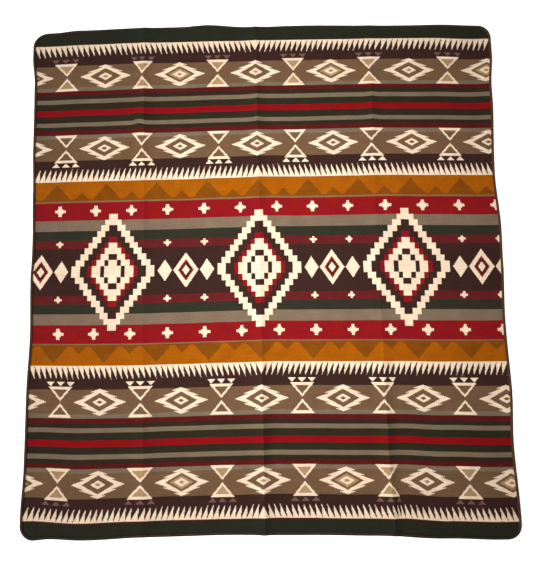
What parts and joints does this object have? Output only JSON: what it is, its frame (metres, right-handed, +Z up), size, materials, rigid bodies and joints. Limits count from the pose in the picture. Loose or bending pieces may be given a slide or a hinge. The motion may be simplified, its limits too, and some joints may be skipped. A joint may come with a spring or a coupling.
{
  "type": "blanket",
  "caption": "Woven wool blanket with cross stripes and stepped motifs, its edge bound with a folded tape, laid out flat with its fold creases.",
  "frame": {"origin": "on the floor under the middle of the laid-out blanket's box", "axes": "+X across the blanket along its stripes, +Y up its length, +Z up from the floor through the cloth"},
  "size_m": [2.2856, 2.4742, 0.0137],
  "materials": {
    "woven_wool": "napped jacquard-woven wool in green, taupe, ochre, crimson, maroon, aubergine and cream cross bands",
    "felt_binding": "dark brown-olive wool felt tape, folded over the edge and stitched"
  },
  "bodies": {
    "root": {"field": "woven_wool", "binding": "felt_binding"}
  },
  "joints": []
}
